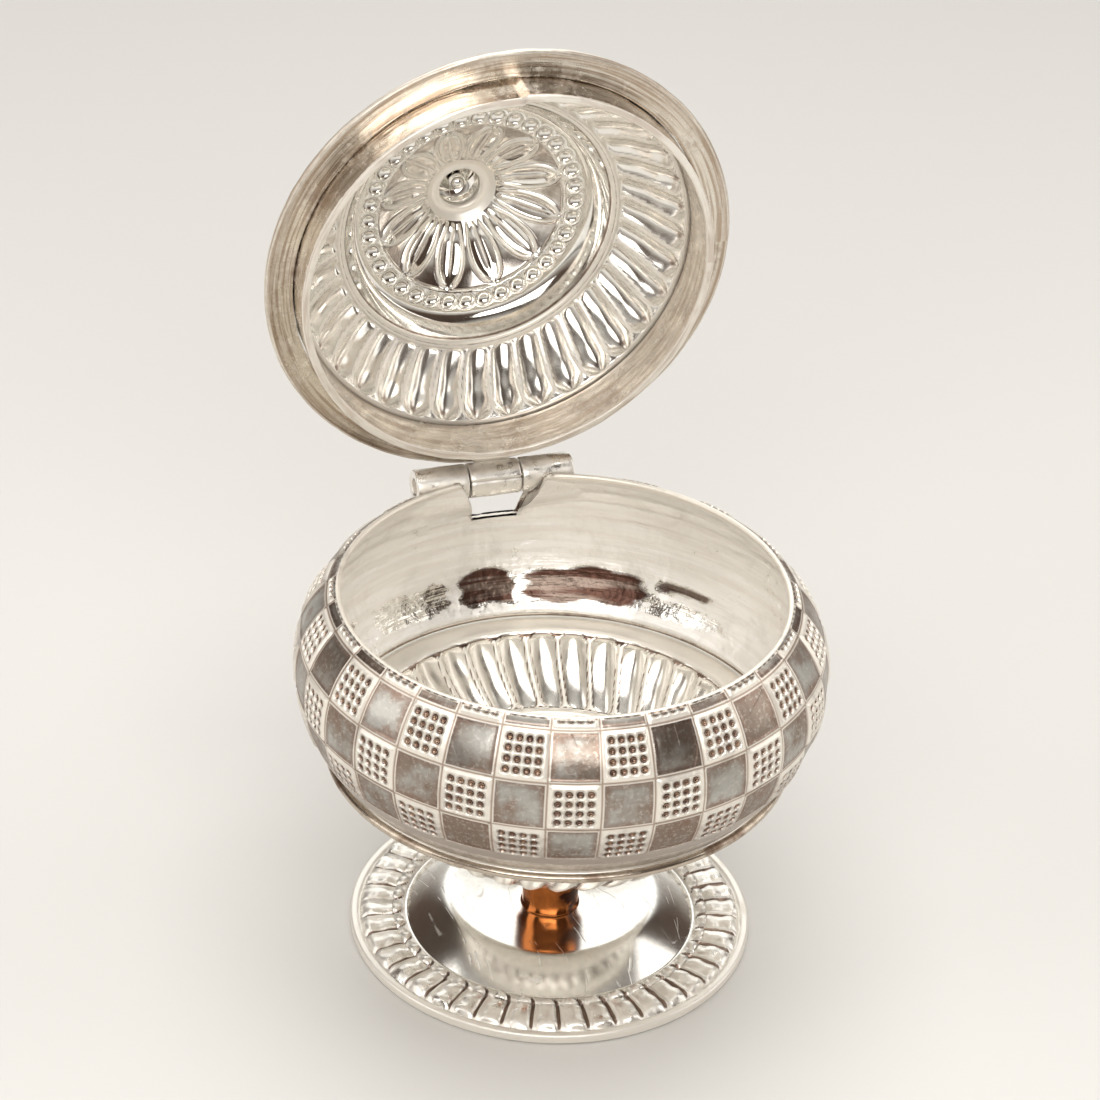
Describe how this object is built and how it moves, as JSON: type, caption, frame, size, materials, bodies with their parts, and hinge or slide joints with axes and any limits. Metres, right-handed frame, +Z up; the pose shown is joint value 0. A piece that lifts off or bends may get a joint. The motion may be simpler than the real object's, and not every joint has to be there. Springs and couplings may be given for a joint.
{
  "type": "sindoor box",
  "caption": "Footed silver sindoor box: checker-embossed round bowl on a stem and fluted foot, with a gadrooned domed lid that swings on a pinned hinge.",
  "frame": {"origin": "on the table, under the middle of the open box's bounding box", "axes": "+Z up along the stem, +Y from the bowl towards the hinge and the open lid, +X along the hinge pin"},
  "size_m": [0.048, 0.0662, 0.0793],
  "materials": {
    "silver_polished": "polished silver with fine scratches",
    "silver_frosted": "pressed silver, whitened in the pickle and worn bright on the high points",
    "silver_toned": "silver toned brown in the joints and on the stem"
  },
  "bodies": {
    "bowl": {"foot_plate": "silver_polished", "stem_tube": "silver_toned", "bowl_base": "silver_polished", "seam_ring": "silver_toned", "bowl_wall": "silver_frosted", "hinge_knuckle_left": "silver_polished", "hinge_knuckle_right": "silver_polished", "hinge_pin": "silver_toned"},
    "lid": {"hinge_knuckle_middle": "silver_polished", "lid_hinge_leaf": "silver_polished", "lid_bezel": "silver_frosted", "lid_brim": "silver_frosted", "lid_dome": "silver_polished", "lid_knob": "silver_polished", "knob_rivet": "silver_polished"}
  },
  "joints": [
    {"name": "lid_hinge", "type": "hinge", "parent": "bowl", "child": "lid", "pos_m": [0, 0.01339, 0.0349], "axis": [-1, 0, 0], "range_deg": [-84.5, 0]}
  ]
}
